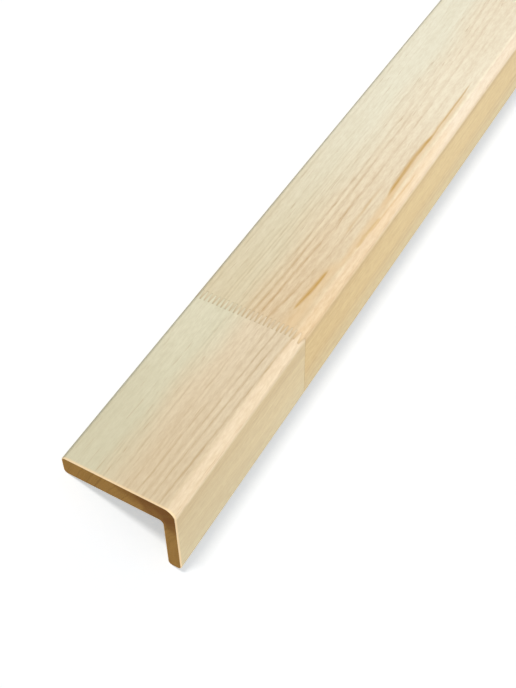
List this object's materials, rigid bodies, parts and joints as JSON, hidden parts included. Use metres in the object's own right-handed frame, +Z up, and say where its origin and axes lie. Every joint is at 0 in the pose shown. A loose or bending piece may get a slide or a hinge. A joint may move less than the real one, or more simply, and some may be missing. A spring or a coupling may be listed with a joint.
{
  "type": "corner guard moulding",
  "caption": "Straight pine L-section moulding with a wide and a narrow leg, round outer corner and finger-jointed blocks; it covers and guards an outside wall corner.",
  "frame": {"origin": "on the floor, under the middle of the stock's box", "axes": "+X along the stock, away from the end in front; +Y towards the tip of the wide leg; +Z up"},
  "size_m": [1.22, 0.0498, 0.027],
  "materials": {
    "pine": "planed and sanded bare pine, satin"
  },
  "bodies": {
    "root": {"block_1": "pine", "block_2": "pine", "block_3": "pine", "block_4": "pine"}
  },
  "joints": []
}
